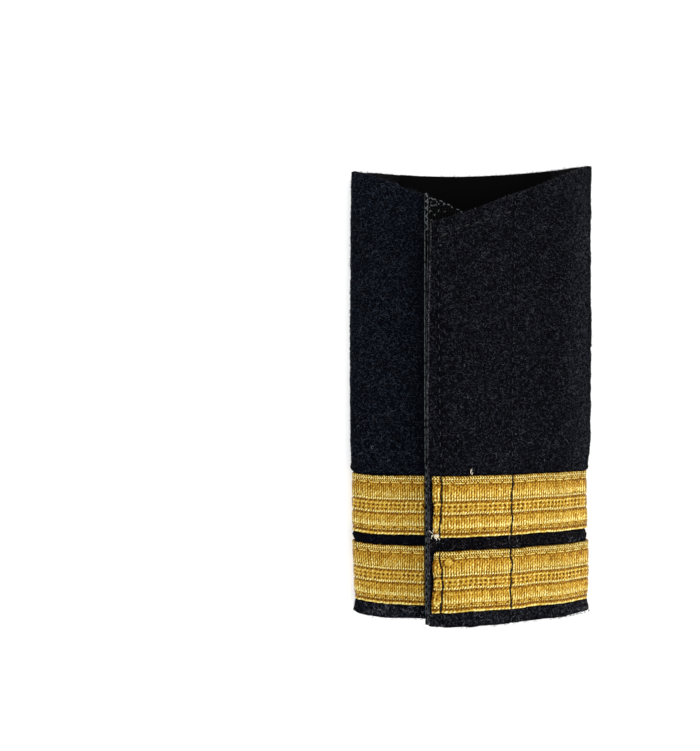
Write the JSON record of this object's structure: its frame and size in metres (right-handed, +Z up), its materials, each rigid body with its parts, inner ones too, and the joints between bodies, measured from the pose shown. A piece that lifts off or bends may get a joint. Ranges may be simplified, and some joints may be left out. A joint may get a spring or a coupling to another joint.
{
  "type": "shoulder board",
  "caption": "Slip-on shoulder board: a dark felt sleeve with a slanted opening, closed by hook-and-loop tape, with gold braid round its lower end.",
  "frame": {"origin": "middle of the underside of the whole part, which lies on its back", "axes": "+X across the sleeve towards the long fold, +Y along the shoulder strap towards the slanted opening, +Z up out of the front"},
  "size_m": [0.0604, 0.1106, 0.0166],
  "materials": {
    "felt": "thick brushed wool felt, navy that is nearly black",
    "lining": "smooth black ribbed lining cloth",
    "hook_tape": "black nylon hook tape with a woven edge",
    "loop_tape": "black nylon loop tape",
    "gold_braid": "woven gold wire braid with ribs, beaded rows and a corded edge"
  },
  "bodies": {
    "root": {"felt_sleeve": "felt", "back_lining": "lining", "hook_tape": "hook_tape", "loop_tape": "loop_tape", "braid_upper": "gold_braid", "braid_lower": "gold_braid"}
  },
  "joints": []
}
